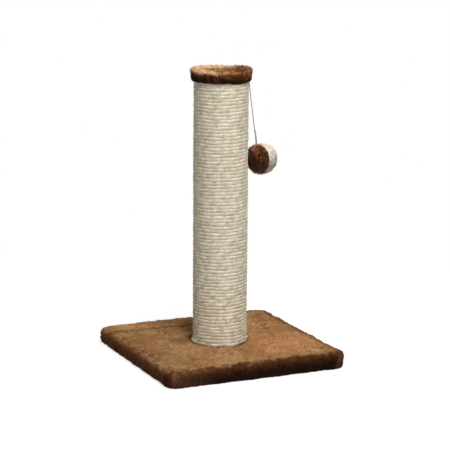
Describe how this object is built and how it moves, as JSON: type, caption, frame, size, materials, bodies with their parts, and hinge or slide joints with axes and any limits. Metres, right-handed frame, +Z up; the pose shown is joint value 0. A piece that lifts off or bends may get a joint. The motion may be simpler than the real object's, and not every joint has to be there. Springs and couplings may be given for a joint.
{
  "type": "cat scratching post",
  "caption": "Rope-wound scratching post on a square plush base, with a plush cap and a ball toy that hangs on a cord",
  "frame": {"origin": "centre of the base's underside", "axes": "+Z up along the post, +X and +Y along the sides of the square base, the toy hangs near +X"},
  "size_m": [0.3, 0.3, 0.4596],
  "materials": {
    "particle_board": "raw",
    "brown_plush": "matte",
    "cream_plush": "matte",
    "sisal_rope": "matte",
    "grey_cord": "satin",
    "seam_thread": "matte",
    "stuffing": "matte",
    "tube_board": "matte",
    "plug_wood": "raw",
    "zinc_steel": "zinc plated",
    "staple_wire": "galvanised"
  },
  "bodies": {
    "post": {"base_board": "particle_board", "base_plush_cover": "brown_plush", "base_cover_staples": "staple_wire", "base_bolt": "zinc_steel", "base_washer": "zinc_steel", "lower_plug": "plug_wood", "lower_tee_nut": "zinc_steel", "lower_plug_nails": "zinc_steel", "post_tube": "tube_board", "sisal_winding_upper": "sisal_rope", "sisal_winding_lower": "sisal_rope", "rope_end_tacks": "zinc_steel", "upper_plug": "plug_wood", "upper_plug_nails": "zinc_steel", "cap_board": "particle_board", "cap_screws": "zinc_steel", "cap_plush_cover": "brown_plush", "cap_cover_staples": "staple_wire", "toy_cord_staple": "staple_wire"},
    "toy_eye": {"toy_cord_loop": "grey_cord"},
    "toy_hanger": {"toy_cord": "grey_cord", "toy_cord_knot": "grey_cord"},
    "toy_ball": {"toy_core": "stuffing", "toy_brown_half": "brown_plush", "toy_cream_half": "cream_plush", "toy_seam_thread": "seam_thread"}
  },
  "joints": [
    {"name": "toy_swing_side", "type": "hinge", "parent": "post", "child": "toy_eye", "pos_m": [0.04526, -0.00516, 0.441], "axis": [0.9936, -0.1132, 0], "range_deg": [-60, 60]},
    {"name": "toy_swing_out", "type": "hinge", "parent": "toy_eye", "child": "toy_hanger", "pos_m": [0.04526, -0.00516, 0.43845], "axis": [-0.1132, -0.9936, 0], "range_deg": [0, 80]},
    {"name": "toy_twist", "type": "hinge", "parent": "toy_hanger", "child": "toy_ball", "pos_m": [0.06791, -0.00774, 0.3155], "axis": [-0.3754, 0.0428, 0.9259], "range_deg": [-180, 180]}
  ]
}
